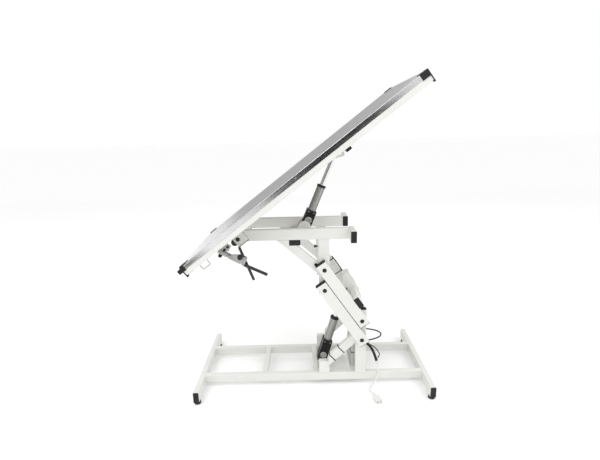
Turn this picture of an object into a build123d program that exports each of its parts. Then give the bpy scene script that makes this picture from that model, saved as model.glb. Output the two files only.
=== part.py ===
"""Treatment table with a parallelogram lift and a tilting deck, driven by two electric linear actuators.

Millimetres. +X runs towards the end of the deck that rises, +Y to the rear, +Z up.
The origin is on the floor, under the middle of the base.
"""
from build123d import *
from math import atan2, cos, degrees, hypot, radians, sin, tan
import os

os.makedirs("parts", exist_ok=True)

# ---- driving dimensions -----------------------------------------------------------------------------
WALL = 2.0                 # wall of the steel tubes
CORNER = 3.0               # outside corner radius of the steel tubes
CAP = 3.0                  # visible thickness of a plastic tube cap
FIT = 0.05                 # radial clearance of a bolt in its bush, and of a pin in an actuator eye
SLIDE_GAP = 1.5            # side clearance of an actuator eye between its plates

# base: two cross tubes on feet, two rails, two posts with braces
CROSS_X = 533.5            # centre line of each cross tube
CROSS_END = 264.0          # half length of a cross tube, without caps
FOOT_HEIGHT = 15.0
BASE_TOP = 65.0
RAIL_NEAR, RAIL_FAR = 109.0, 134.0      # a rail or post lies between these distances from the middle
POST_X = 226.0
POST_TOP = 388.0

# parallelogram links
LINK_LOW = (226.5, 345.0)               # lower pivot of the upper links, X and Z
LINK_HIGH = (57.6, 594.5)               # upper pivot of the upper links
LINK_DROP = 96.0                        # the lower links lie this far below the upper ones
LINK_NEAR, LINK_FAR = 137.0, 162.0
LINK_TAIL, LINK_NOSE = 24.5, 31.0       # tube beyond the lower and the upper pivot
BOLT_R, BUSH_R, BOLT_HEAD_R = 4.0, 6.2, 6.5

# upper frame: two rails on posts, with a stub across each rail's end
UPPER_BOTTOM, UPPER_TOP = 729.0, 779.0
UPPER_LEFT, UPPER_RIGHT = -340.0, 167.5
UPPER_POST = (33.0, 82.0)
UPPER_POST_FOOT = 478.0
STUB_END = 206.0

# deck, in its own frame: s along the deck from its low end, y across it, and depth below its top
DECK_LOW_X, DECK_LOW_Z = -534.8, 671.2  # top edge of the low end
TILT = 37.0
DECK_LENGTH, DECK_HALF_WIDTH = 1200.0, 297.0
SHEET = 1.5
BOARD_BOTTOM = 19.0
SKIRT = 21.0
DECK_TUBE = 25.0
HINGE_X, HINGE_Z = -319.0, 741.0

# actuators, each from its lower pin to its upper pin, X and Z
LIFT_FOOT, LIFT_HEAD = (42.0, 52.0), (166.0, 448.0)
TILT_FOOT = (-25.0, 752.0)
TILT_HEAD_S, TILT_HEAD_DEPTH = 768.5, 60.0
PIN_R = 5.0
EYE_R = 13.0

FROM_BASE = (Align.CENTER, Align.CENTER, Align.MIN)     # a round part that starts at its plane


# ---- shapes used again and again ---------------------------------------------------------------------
def save(node, *shapes):
    """Write the solids of one sub-part to its own STEP file."""
    solids = [solid for shape in shapes for solid in shape.solids()]
    export_step(solids[0] if len(solids) == 1 else Compound(solids), f"parts/{node}.step")


def tube(start, end, across, width, height):
    """Rectangular steel tube from start to end, its width measured along the direction across."""
    start, end = Vector(*start), Vector(*end)
    section = Plane(origin=start, x_dir=across, z_dir=(end - start).normalized())
    outer = RectangleRounded(width, height, CORNER)
    inner = RectangleRounded(width - 2 * WALL, height - 2 * WALL, CORNER - WALL)
    return extrude(section * (outer - inner), amount=(end - start).length)


def bar(start, end, across, width, height):
    """The full outside of such a tube, used to cut and to clip."""
    start, end = Vector(*start), Vector(*end)
    section = Plane(origin=start, x_dir=across, z_dir=(end - start).normalized())
    return extrude(section * Rectangle(width, height), amount=(end - start).length)


def cap(mouth, outward, across, width, height, thickness=CAP):
    """Plastic tube cap: a rounded plate over the mouth and a plug inside it."""
    face = Plane(origin=mouth, x_dir=across, z_dir=outward)
    plate = extrude(face * RectangleRounded(width, height, CORNER), amount=thickness)
    rim = plate.faces().sort_by(Axis(mouth, outward))[-1].edges()
    plug = extrude(face * RectangleRounded(width - 2 * WALL - 0.4, height - 2 * WALL - 0.4, 0.8), amount=-10)
    return fillet(rim, 1.2) + plug


def plate(outline, y_low, y_high):
    """Flat plate whose outline is drawn in X and Z, from y_low to y_high."""
    return extrude(Plane.XZ.offset(-y_high) * outline, amount=y_high - y_low)


def pin(x, z, radius, y_low, y_high):
    """Round pin across the table."""
    return plate(Pos(x, z) * Circle(radius), y_low, y_high)


def block(x_low, x_high, y_low, y_high, z_low, z_high):
    """Box between two corners."""
    middle = Pos((x_low + x_high) / 2, (y_low + y_high) / 2, (z_low + z_high) / 2)
    return middle * Box(x_high - x_low, y_high - y_low, z_high - z_low)


def rod(start, end, radius):
    """Round bar from start to end."""
    run = Vector(*end) - Vector(*start)
    return extrude(Plane(origin=start, z_dir=run.normalized()) * Circle(radius), amount=run.length)


def span(side, near, far):
    """The y range from near to far on the front (-1) or rear (1) side, lowest first."""
    return (near, far) if side > 0 else (-far, -near)


def pivot_bolt(x, z, side):
    """Bolt through a post and a link: shank, round head outside the link, nut inside the post."""
    head = pin(x, z, BOLT_HEAD_R, *span(side, LINK_FAR + 0.3, LINK_FAR + 5.3))
    rim = head.faces().sort_by(Axis.Y)[-1 if side > 0 else 0].edges()
    shank = pin(x, z, BOLT_R, *span(side, RAIL_NEAR - 9, LINK_FAR + 0.3))
    nut = plate(Pos(x, z) * RegularPolygon(7.5, 6), *span(side, RAIL_NEAR - 7, RAIL_NEAR))
    return fillet(rim, 1.5) + shank + nut


def bush(x, z, side):
    """Plain brass bush through a link, with a shoulder towards the post."""
    ring = Circle(BUSH_R) - Circle(BOLT_R + FIT)
    shoulder = Circle(9.0) - Circle(BOLT_R + FIT)
    sleeve = plate(Pos(x, z) * ring, *span(side, LINK_NEAR - 0.1, LINK_FAR))
    return sleeve + plate(Pos(x, z) * shoulder, *span(side, RAIL_FAR + 0.3, LINK_NEAR))


def cord(points, diameter):
    """Round cable along straight runs joined by the largest arcs the runs allow; prints those radii."""
    path = [Vector(*point) for point in points]
    radii = []
    for before, here, after in zip(path, path[1:], path[2:]):
        turn = (here - before).get_angle(after - here)
        shorter = min((here - before).length, (after - here).length)
        radii.append(0.45 * shorter / tan(radians(turn) / 2))
    line = FilletPolyline(*path, radius=radii)
    section = Plane(origin=path[0], z_dir=(path[1] - path[0]).normalized()) * Circle(diameter / 2)
    solid = sweep(section, path=line)
    print("cord", [round(radius) for radius in radii], "length", round(line.length),
          "volume ratio", round(solid.volume / (line.length * section.area), 4))
    return solid


# ---- base frame --------------------------------------------------------------------------------------
cross_tubes = []
base_caps = []
feet = []
for x in (-CROSS_X, CROSS_X):
    middle = (FOOT_HEIGHT + BASE_TOP) / 2
    cross_tubes.append(tube((x, -CROSS_END, middle), (x, CROSS_END, middle), (1, 0, 0), 25, 50))
    for side in (-1, 1):
        base_caps.append(cap((x, side * CROSS_END, middle), (0, side, 0), (1, 0, 0), 25, 50))
        foot_axis = Pos(x, side * (CROSS_END - 20), 0)
        pad = foot_axis * Cone(15, 13.5, 9, align=FROM_BASE)
        neck = foot_axis * Pos(0, 0, 9) * Cylinder(9, 6, align=FROM_BASE)
        feet.append(pad + neck)
save("base_cross_tubes", *cross_tubes)
save("base_feet", *feet)

RAIL_Z = BASE_TOP - 20
RAIL_END = CROSS_X - 12.5
rail_y = (RAIL_NEAR + RAIL_FAR) / 2
save("base_rails", *[
    tube((-RAIL_END, side * rail_y, RAIL_Z), (RAIL_END, side * rail_y, RAIL_Z), (0, 1, 0), 25, 40)
    for side in (-1, 1)])

# short tubes between the rails: one stiffens them, one carries the lift actuator
ACTUATOR_TUBE_X = 12.5
save("base_mid_tubes", *[
    tube((x, -RAIL_NEAR, RAIL_Z), (x, RAIL_NEAR, RAIL_Z), (1, 0, 0), 25, 40)
    for x in (-233.5, ACTUATOR_TUBE_X)])

CROWN = 9.0                 # height of the domed cap on a post
posts = []
base_bolts = []
for side in (-1, 1):
    post = tube((POST_X, side * rail_y, BASE_TOP), (POST_X, side * rail_y, POST_TOP), (1, 0, 0), 50, 25)
    for z in (LINK_LOW[1], LINK_LOW[1] - LINK_DROP):
        post -= pin(LINK_LOW[0], z, BOLT_R, *span(side, RAIL_NEAR - 1, RAIL_FAR + 1))
        base_bolts.append(pivot_bolt(LINK_LOW[0], z, side))
    posts.append(post)
    crown = cap((POST_X, side * rail_y, POST_TOP), (0, 0, 1), (1, 0, 0), 50, 25)
    dome = block(POST_X - 20, POST_X + 20, side * rail_y - 8.5, side * rail_y + 8.5,
                 POST_TOP + CAP - 0.5, POST_TOP + CROWN)
    base_caps.append(crown + fillet(dome.edges().group_by(Axis.Z)[-1], 5))
save("base_posts", *posts)
save("base_caps", *base_caps)

# braces: a sloping tube from an upright foot on the rail to the post's left face
BRACE_FOOT = (28.0, 78.0)               # the foot's left and right faces
BRACE_FOOT_TOP = 126.0
BRACE_START = 74.0                      # the sloping tube's lower end, cut upright
BRACE_EDGE_Z = 112.0                    # its upper edge, carried on to the foot's left face
BRACE_RISE = 43.5
LID = 2.0
brace_way = Vector(cos(radians(BRACE_RISE)), 0, sin(radians(BRACE_RISE)))
brace_down = Vector(sin(radians(BRACE_RISE)), 0, -cos(radians(BRACE_RISE)))
foot_middle = sum(BRACE_FOOT) / 2
braces = []
for side in (-1, 1):
    y = side * rail_y
    middle = Vector(BRACE_FOOT[0], y, BRACE_EDGE_Z) + brace_down * 20
    low, high = tuple(middle - brace_way * 80), tuple(middle + brace_way * 300)
    clip = block(BRACE_START, POST_X - 25, -200, 200, BASE_TOP, 400)
    braces.append(tube(low, high, tuple(brace_down), 40, 25) & clip)
    foot = tube((foot_middle, y, BASE_TOP), (foot_middle, y, BRACE_FOOT_TOP - LID), (1, 0, 0), 50, 25)
    lid = block(*BRACE_FOOT, y - 12.5, y + 12.5, BRACE_FOOT_TOP - LID, BRACE_FOOT_TOP)
    lid = fillet(lid.edges().filter_by(Axis.Z), CORNER)
    braces.append(foot + lid - (bar(low, high, tuple(brace_down), 40, 25.2) & clip))
save("base_braces", *braces)

# ears that hold the lift actuator's foot, welded to the short tube
ears = []
for side in (-1, 1):
    outline = make_hull([*(Pos(*LIFT_FOOT) * Circle(17)).edges(),
                         *(Pos(ACTUATOR_TUBE_X + 15, 46) * Rectangle(4, 38)).edges()])
    ear = plate(outline, *span(side, 31, 37)) - pin(*LIFT_FOOT, PIN_R, -60, 60)
    ears.append(ear - bar((ACTUATOR_TUBE_X, -60, RAIL_Z), (ACTUATOR_TUBE_X, 60, RAIL_Z), (1, 0, 0), 25, 40))
save("lift_ears", *ears)
lift_foot_pin = pin(*LIFT_FOOT, PIN_R, -40, 40)
for side in (-1, 1):
    lift_foot_pin += pin(*LIFT_FOOT, 8, *span(side, 37, 41))
save("base_bolts", *base_bolts, lift_foot_pin)

# control box on a shelf between the rails, behind the front post
BOX_X, BOX_TOP = (188.0, 240.0), 182.0
shelf = block(BOX_X[0] - 8, BOX_X[1] + 8, -RAIL_NEAR, RAIL_NEAR, BASE_TOP - 3, BASE_TOP)
save("control_shelf", shelf)
case = block(*BOX_X, -80, 80, BASE_TOP, BOX_TOP)
case = fillet(case.edges().filter_by(Axis.Y).group_by(Axis.Z)[-1], 18)
case = fillet(case.edges().filter_by(Axis.Z), 6)
save("control_box", offset(case, amount=-2.5, openings=case.faces().sort_by(Axis.Z)[0]))


# ---- links -------------------------------------------------------------------------------------------
link_run = Vector(LINK_HIGH[0] - LINK_LOW[0], 0, LINK_HIGH[1] - LINK_LOW[1])
link_way = link_run.normalized()
link_across = Vector(link_way.Z, 0, -link_way.X)
link_y = (LINK_NEAR + LINK_FAR) / 2


def on_link(along, off, y):
    """Point on an upper link: along it from its lower pivot, and off its centre line to the right."""
    point = Vector(LINK_LOW[0], y, LINK_LOW[1]) + link_way * along + link_across * off
    return tuple(point)


def link_pair(drop):
    """Two links with their bushes and the caps of their upper ends, a drop below the upper pair."""
    lower = Pos(0, 0, -drop)
    tubes, bushes, caps = [], [], []
    for side in (-1, 1):
        y = side * link_y
        low, high = on_link(-LINK_TAIL, 0, y), on_link(link_run.length + LINK_NOSE, 0, y)
        body = tube(low, high, tuple(link_across), 50, 25)
        for x, z in (LINK_LOW, LINK_HIGH):
            body -= pin(x, z, BUSH_R, *span(side, LINK_NEAR - 1, LINK_FAR + 1))
            bushes.append(lower * bush(x, z, side))
        tubes.append(lower * body)
        caps.append(lower * cap(high, tuple(link_way), tuple(link_across), 50, 25, 5))
    return tubes, bushes, caps


upper_links, upper_bushes, link_caps = link_pair(0)
lower_links, lower_bushes, lower_caps = link_pair(LINK_DROP)
save("upper_links", *upper_links)
save("upper_link_bushes", *upper_bushes)
save("lower_links", *lower_links)
save("lower_link_bushes", *lower_bushes)
save("lower_link_caps", *lower_caps)

# cross tube welded on the upper links; it turns the pair and carries the lever plates
CROSS_ALONG, CROSS_OFF = 84.0, 37.5
cross_low = on_link(CROSS_ALONG, CROSS_OFF, -159)
cross_high = on_link(CROSS_ALONG, CROSS_OFF, 159)
save("link_cross_tube", tube(cross_low, cross_high, tuple(link_way), 50, 25))
for mouth, way in ((cross_low, -1), (cross_high, 1)):
    link_caps.append(cap(mouth, (0, way, 0), tuple(link_way), 50, 25))
save("upper_link_caps", *link_caps)


def lever_corner(along, off):
    """A corner of the lever plate in X and Z."""
    point = on_link(along, off, 0)
    return point[0], point[2]


# lever plates: a curved back, and a slot that leaves the rod's pin room as the lift turns
lever_points = [lever_corner(27, 36), lever_corner(77, 57), lever_corner(129, 61), lever_corner(181, 69)]
lever_back = Spline(*lever_points)
lever_front = Polyline(lever_points[-1], lever_corner(190, 44), lever_corner(148, 4), lever_corner(122, -16),
                       lever_corner(100, -10), lever_corner(60, 14), lever_points[0])
lever_outline = make_face(lever_back.edges() + lever_front.edges())
slot_end = (LIFT_HEAD[0] + 7.5, LIFT_HEAD[1] - 12.5)
slot_round = Circle(PIN_R + 2.5)
slot = make_hull([*(Pos(*LIFT_HEAD) * slot_round).edges(), *(Pos(*slot_end) * slot_round).edges()])
levers = []
for side in (-1, 1):
    lever = plate(lever_outline, *span(side, 22, 28)) - plate(slot, -40, 40)
    levers.append(lever - bar(cross_low, cross_high, tuple(link_way), 50, 25))
save("lever_plates", *levers)


# ---- upper frame -------------------------------------------------------------------------------------
UNDER_TUBE = (-71.0, UPPER_BOTTOM - 12.5)
under_tube_room = block(UNDER_TUBE[0] - 25, UNDER_TUBE[0] + 25, -RAIL_FAR, RAIL_FAR,
                        UPPER_BOTTOM - 25, UPPER_BOTTOM)
rails, stubs, upper_posts, upper_caps, upper_bolts, upper_braces = [], [], [], [], [], []
upper_middle = (UPPER_BOTTOM + UPPER_TOP) / 2
post_middle = sum(UPPER_POST) / 2
for side in (-1, 1):
    y = side * rail_y
    rail = tube((UPPER_LEFT, y, upper_middle), (UPPER_RIGHT, y, upper_middle), (0, 1, 0), 25, 50)
    rails.append(rail - pin(HINGE_X, HINGE_Z, BOLT_R, *span(side, RAIL_NEAR - 1, RAIL_FAR + 1)))
    stub_x = UPPER_RIGHT + 12.5
    stub_ends = [(stub_x, side * RAIL_NEAR, upper_middle), (stub_x, side * (STUB_END - CAP), upper_middle)]
    stubs.append(tube(*stub_ends, (1, 0, 0), 25, 50))
    upper_caps.append(cap(stub_ends[0], (0, -side, 0), (1, 0, 0), 25, 50))
    upper_caps.append(cap(stub_ends[1], (0, side, 0), (1, 0, 0), 25, 50))
    post = tube((post_middle, y, UPPER_POST_FOOT), (post_middle, y, UPPER_BOTTOM), (1, 0, 0), 49, 25)
    for z in (LINK_HIGH[1], LINK_HIGH[1] - LINK_DROP):
        post -= pin(LINK_HIGH[0], z, BOLT_R, *span(side, RAIL_NEAR - 1, RAIL_FAR + 1))
        upper_bolts.append(pivot_bolt(LINK_HIGH[0], z, side))
    upper_posts.append(post)
    upper_caps.append(cap((post_middle, y, UPPER_POST_FOOT), (0, 0, -1), (1, 0, 0), 49, 25))
    brace_top, brace_foot = Vector(-120, y, UPPER_BOTTOM), Vector(UPPER_POST[0], y, 592.5)
    way = (brace_foot - brace_top).normalized()
    long_brace = tube(tuple(brace_top - way * 60), tuple(brace_foot + way * 60), (way.Z, 0, -way.X), 40, 25)
    clip = block(-300, UPPER_POST[0], -200, 200, 400, UPPER_BOTTOM) - under_tube_room
    upper_braces.append(long_brace & clip)
save("upper_rails", *rails)
save("upper_stubs", *stubs)
save("upper_posts", *upper_posts)
save("upper_braces", *upper_braces)

# cross tube under the rails, with the ears that hold the tilt actuator's foot
under_ends = [(UNDER_TUBE[0], -131, UNDER_TUBE[1]), (UNDER_TUBE[0], 131, UNDER_TUBE[1])]
save("upper_cross_tube", tube(*under_ends, (1, 0, 0), 50, 25))
upper_caps.append(cap(under_ends[0], (0, -1, 0), (1, 0, 0), 50, 25))
upper_caps.append(cap(under_ends[1], (0, 1, 0), (1, 0, 0), 50, 25))
save("upper_frame_caps", *upper_caps)

ears = []
for side in (-1, 1):
    seat = Pos(UNDER_TUBE[0] + 8, UNDER_TUBE[1] + 2.5) * Rectangle(34, 20)
    crown = Pos(TILT_FOOT[0], TILT_FOOT[1] + 12.5) * Circle(28)
    outline = make_hull([*crown.edges(), *seat.edges()])
    ear = plate(outline, *span(side, 32, 38)) - pin(*TILT_FOOT, PIN_R, -60, 60)
    ears.append(ear - bar(*under_ends, (1, 0, 0), 50, 25))
save("tilt_ears", *ears)
tilt_foot_pin = pin(*TILT_FOOT, PIN_R, -42, 42)
for side in (-1, 1):
    tilt_foot_pin += pin(*TILT_FOOT, 8, *span(side, 38, 42))
save("upper_bolts", *upper_bolts, tilt_foot_pin)


# ---- deck --------------------------------------------------------------------------------------------
DECK = Pos(DECK_LOW_X, 0, DECK_LOW_Z) * Rot(0, -TILT, 0)


def deck_block(s_low, s_high, y_low, y_high, depth_low, depth_high):
    """Box in the deck's own frame, from depth_low down to depth_high."""
    return block(s_low, s_high, y_low, y_high, -depth_high, -depth_low)


def deck_point(s, depth):
    """X and Z of a point of the deck at rest."""
    slope = radians(TILT)
    x = DECK_LOW_X + s * cos(slope) + depth * sin(slope)
    return x, DECK_LOW_Z + s * sin(slope) - depth * cos(slope)


def deck_place(x, z):
    """Length along the deck and depth of a point given by its X and Z."""
    slope = radians(TILT)
    right, up = x - DECK_LOW_X, z - DECK_LOW_Z
    return right * cos(slope) + up * sin(slope), right * sin(slope) - up * cos(slope)


# stainless sheet folded over the edges of a board, on a frame of square tubes
sheet = deck_block(0, DECK_LENGTH, -DECK_HALF_WIDTH, DECK_HALF_WIDTH, 0, SKIRT)
sheet = fillet(sheet.edges().group_by(Axis.Z)[-1], 1.5)
TUBE_END = DECK_HALF_WIDTH - SHEET
sheet -= deck_block(SHEET, DECK_LENGTH - SHEET, -TUBE_END, TUBE_END, SHEET, SKIRT)
GUARD_LENGTH, GUARD_WIDTH, GUARD_GAP = 34.0, 32.0, 0.3
for s in (0, DECK_LENGTH):
    for side in (-1, 1):
        notch = span(side, DECK_HALF_WIDTH - GUARD_WIDTH - GUARD_GAP, DECK_HALF_WIDTH + 1)
        sheet -= deck_block(s - GUARD_LENGTH - GUARD_GAP, s + GUARD_LENGTH + GUARD_GAP, *notch, -1, SHEET)
save("deck_sheet", DECK * sheet)
board = deck_block(SHEET, DECK_LENGTH - SHEET, -TUBE_END, TUBE_END, SHEET, BOARD_BOTTOM)
save("deck_board", DECK * board)

tube_depth = BOARD_BOTTOM + DECK_TUBE / 2
side_y = TUBE_END - DECK_TUBE / 2
save("deck_side_tubes", *[
    DECK * tube((SHEET, y, -tube_depth), (DECK_LENGTH - SHEET, y, -tube_depth), (0, 1, 0), 25, 25)
    for y in (-side_y, side_y)])

HINGE_TUBE_S, DRIVE_TUBE_S = 162.5, 816.0
inner_end = TUBE_END - DECK_TUBE
cross = [DECK * tube((s, -inner_end, -tube_depth), (s, inner_end, -tube_depth), (1, 0, 0), 25, 25)
         for s in (SHEET + 12.5, HINGE_TUBE_S, DECK_LENGTH - SHEET - 12.5)]
DRIVE_TUBE_HALF = 260.0
drive_depth = BOARD_BOTTOM + 20
drive_ends = [(DRIVE_TUBE_S, -DRIVE_TUBE_HALF, -drive_depth), (DRIVE_TUBE_S, DRIVE_TUBE_HALF, -drive_depth)]
save("deck_cross_tubes", *cross, DECK * tube(*drive_ends, (1, 0, 0), 25, 40))
save("deck_drive_caps", *[
    DECK * cap(end, (0, side, 0), (1, 0, 0), 25, 40) for end, side in zip(drive_ends, (-1, 1))])

# hinge brackets outside the rails of the upper frame, on the deck's hinge tube
hinge_s, hinge_depth = deck_place(HINGE_X, HINGE_Z)
BRACKET_NEAR, BRACKET_FAR = RAIL_FAR + 3, RAIL_FAR + 9
brackets, hinge_pins = [], []
for side in (-1, 1):
    arm = Polyline((HINGE_TUBE_S - 12, -44), (hinge_s + 36, -44), (hinge_s + 36, -104), (hinge_s - 19, -104),
                   (hinge_s - 19, -58), (HINGE_TUBE_S - 12, -58), close=True)
    bracket = plate(make_face(arm), *span(side, BRACKET_NEAR, BRACKET_FAR))
    bracket -= pin(hinge_s, -hinge_depth, BOLT_R + FIT, *span(side, BRACKET_NEAR - 1, BRACKET_FAR + 1))
    brackets.append(DECK * bracket)
    head = pin(HINGE_X, HINGE_Z, 7.5, *span(side, BRACKET_FAR + 0.3, BRACKET_FAR + 5.3))
    rim = head.faces().sort_by(Axis.Y)[-1 if side > 0 else 0].edges()
    shank = pin(HINGE_X, HINGE_Z, BOLT_R, *span(side, RAIL_NEAR - 9, BRACKET_FAR + 0.3))
    nut = plate(Pos(HINGE_X, HINGE_Z) * RegularPolygon(7.5, 6), *span(side, RAIL_NEAR - 7, RAIL_NEAR))
    hinge_pins.append(fillet(rim, 1.5) + shank + nut)
save("hinge_brackets", *brackets)
save("hinge_bolts", *hinge_pins)

# ears for the tilt rod, on the low side of the drive tube; the slot leaves the rod's pin room
TILT_HEAD = deck_point(TILT_HEAD_S, TILT_HEAD_DEPTH)
slot_reach = deck_place(TILT_HEAD[0] + 31.5, TILT_HEAD[1] + 5.8)
rod_slot = make_hull([*(Pos(TILT_HEAD_S, -TILT_HEAD_DEPTH) * Circle(PIN_R + 1.5)).edges(),
                      *(Pos(slot_reach[0], -slot_reach[1]) * Circle(PIN_R + 1.5)).edges()])
ears = []
for side in (-1, 1):
    seat = Pos(DRIVE_TUBE_S - 13, -BOARD_BOTTOM - 22) * Rectangle(20, 40)
    tip = Pos(slot_reach[0], -slot_reach[1]) * Circle(13)
    eye = Pos(TILT_HEAD_S, -TILT_HEAD_DEPTH) * Circle(14)
    outline = make_hull([*eye.edges(), *seat.edges(), *tip.edges()])
    ear = plate(outline, *span(side, 22, 28)) - plate(rod_slot, -40, 40)
    ears.append(DECK * (ear - bar(*drive_ends, (1, 0, 0), 25, 40)))
save("deck_ears", *ears)

# black plastic guards over the four corners, each with a lip down the end tube
GUARD_WALL, GUARD_SIDE = 2.0, 1.7
HIGH_END = DECK_LENGTH + GUARD_WALL
guards = []
for side in (-1, 1):
    across = span(side, DECK_HALF_WIDTH - GUARD_WIDTH, DECK_HALF_WIDTH + GUARD_SIDE)
    leg_across = span(side, DECK_HALF_WIDTH - 22, DECK_HALF_WIDTH + GUARD_SIDE)
    lid_room = deck_block(0, DECK_LENGTH, *span(side, 0, DECK_HALF_WIDTH), SHEET - 0.2, 60)
    low = deck_block(-GUARD_WALL, GUARD_LENGTH, *across, -GUARD_WALL, 24)
    low -= deck_block(17, GUARD_LENGTH, *span(side, 0, DECK_HALF_WIDTH + 5), SHEET - 0.2, 25)
    low += deck_block(-GUARD_WALL, 0, *leg_across, 24, 52)
    low += deck_block(-20, -GUARD_WALL, *span(side, DECK_HALF_WIDTH - 26, DECK_HALF_WIDTH), 7, 25)
    high = deck_block(DECK_LENGTH - GUARD_LENGTH, HIGH_END, *across, -GUARD_WALL, 24)
    high += deck_block(DECK_LENGTH, HIGH_END, *leg_across, 24, 52)
    guards += [DECK * (low - lid_room), DECK * (high - lid_room)]
save("corner_guards", *guards)

# rubber: buffers under the board that meet the stubs when the deck is level, and bumpers by the hinge
level_gap = hinge_depth + HINGE_Z - UPPER_TOP
buffers = []
for side in (-1, 1):
    puck = Pos(HINGE_TUBE_S + 549, side * 170, -BOARD_BOTTOM) * Cylinder(
        15, level_gap - BOARD_BOTTOM - 0.5, align=(Align.CENTER, Align.CENTER, Align.MAX))
    buffers.append(DECK * puck)
    half_round = (Pos(hinge_s - 19, -76) * Circle(16)) & (Pos(hinge_s - 39, -76) * Rectangle(40, 40))
    buffers.append(DECK * plate(half_round, *span(side, BRACKET_NEAR - 2, BRACKET_FAR + 2)))
save("deck_buffers", *buffers)

# screws through the skirt, and wire loops for tying straps
screws = []
for s in (97, 590, 1065):
    for side in (-1, 1):
        head = plate(Pos(s, -11) * Circle(4), *span(side, DECK_HALF_WIDTH, DECK_HALF_WIDTH + 1.8))
        screws.append(DECK * head)
save("skirt_screws", *screws)

WIRE_R = 2.5
TUBE_BOTTOM = BOARD_BOTTOM + DECK_TUBE
loops = []
for side in (-1, 1):
    y = side * (TUBE_END - 12)
    under = [(104, y, -TUBE_BOTTOM), (104, y, -68), (66, y, -68), (66, y, -TUBE_BOTTOM)]
    loops.append(DECK * sweep(Plane(origin=under[0], z_dir=(0, 0, -1)) * Circle(WIRE_R),
                              path=FilletPolyline(*under, radius=6)))
    inner_y, wire_depth = y - side * 26, TUBE_BOTTOM + WIRE_R
    at_end = [(SHEET, inner_y, -27), (-16, inner_y, -27),
              (-16, inner_y, -wire_depth), (20, inner_y, -wire_depth)]
    loops.append(DECK * sweep(Plane(origin=at_end[0], z_dir=(-1, 0, 0)) * Circle(WIRE_R),
                              path=FilletPolyline(*at_end, radius=6)))
save("tie_loops", *loops)


# ---- pole clamp under the deck's front, near the hinge: a jointed arm with two rods and two hand screws
CLAMP_Y = -203.0
CLAMP_PIVOT = (-346.0, 684.0)
hanger = Polyline((-396, 721), (-362, 746), (-338, 729), (-350, 708), (-378, 700), (-398, 708), close=True)
clamp_bracket = plate(make_face(hanger), CLAMP_Y - 3, CLAMP_Y + 3)
hinge_tube_ends = [(HINGE_TUBE_S, -inner_end, -tube_depth), (HINGE_TUBE_S, inner_end, -tube_depth)]
clamp_bracket -= DECK * bar(*hinge_tube_ends, (1, 0, 0), DECK_TUBE, DECK_TUBE)
clamp_bracket -= pin(-353, 726, 4, -250, -150) + pin(-367, 714, 4, -250, -150)
socket_low, socket_high = (-394, CLAMP_Y, 710), (-358, CLAMP_Y, 690.4)
clamp_bracket += rod(socket_low, socket_high, 11)
neck = make_hull([*(Pos(-358, 690.4) * Circle(9)).edges(), *(Pos(*CLAMP_PIVOT) * Circle(9)).edges()])
clamp_bracket += plate(neck, CLAMP_Y, CLAMP_Y + 8)
clamp_bracket += pin(*CLAMP_PIVOT, BOLT_R, CLAMP_Y - 13, CLAMP_Y + 8)
clamp_bracket += pin(*CLAMP_PIVOT, 7, CLAMP_Y - 14, CLAMP_Y - 9.6)
save("clamp_bracket", clamp_bracket)

socket_way = (Vector(*socket_high) - Vector(*socket_low)).normalized()
screw_way = Vector(socket_way.Z, 0, -socket_way.X)
screw_start = Vector(-380, CLAMP_Y, 702.4) + screw_way * 11.3
screw_knob = rod(tuple(screw_start), tuple(screw_start + screw_way * 11), 9)
save("clamp_screw", fillet(screw_knob.edges(), 1.5))

HUB = (-304.0, 664.0)
KNOB = (-301.0, 684.0)
ROD_TOP, ROD_FOOT = (-307.0, 721.0), (-252.0, 571.0)
rod_run = Vector(ROD_FOOT[0] - ROD_TOP[0], 0, ROD_FOOT[1] - ROD_TOP[1]).normalized()
rod_at_hub = Vector(ROD_TOP[0], 0, ROD_TOP[1]) + rod_run * 58
arm_face = make_hull([*(Pos(*CLAMP_PIVOT) * Circle(9)).edges(), *(Pos(*HUB) * Circle(12)).edges(),
                      *(Pos(*KNOB) * Circle(8)).edges()])
clamp_arm = plate(arm_face, CLAMP_Y - 9.3, CLAMP_Y - 1.3) - pin(*CLAMP_PIVOT, BOLT_R + FIT, -250, -150)
rod_round = Pos(rod_at_hub.X, rod_at_hub.Z) * Circle(11)
hub_face = make_hull([*(Pos(*HUB) * Circle(12)).edges(), *rod_round.edges()])
clamp_arm += plate(hub_face, CLAMP_Y - 1.3, CLAMP_Y + 21)
ROD_Y = CLAMP_Y + 11
clamp_arm -= rod((ROD_TOP[0], ROD_Y, ROD_TOP[1]), (ROD_FOOT[0], ROD_Y, ROD_FOOT[1]), 6 + FIT)
save("clamp_arm", clamp_arm + rod((-299, CLAMP_Y - 2.5, 650.4), (-191, CLAMP_Y - 2.5, 598), 6))
save("clamp_rod", rod((ROD_TOP[0], ROD_Y, ROD_TOP[1]), (ROD_FOOT[0], ROD_Y, ROD_FOOT[1]), 6))
hub_knob = pin(*KNOB, 13, CLAMP_Y - 24, CLAMP_Y - 9.6)
save("clamp_knob", fillet(hub_knob.faces().sort_by(Axis.Y)[0].edges(), 2))


# ---- actuators: each is made along +X from its foot pin, then turned into place ------------------------
HOUSING_HALF_Y = 28.0
TUBE_WALL = 4.0
SCREW_R, ROD_R = 5.0, 10.0


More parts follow.
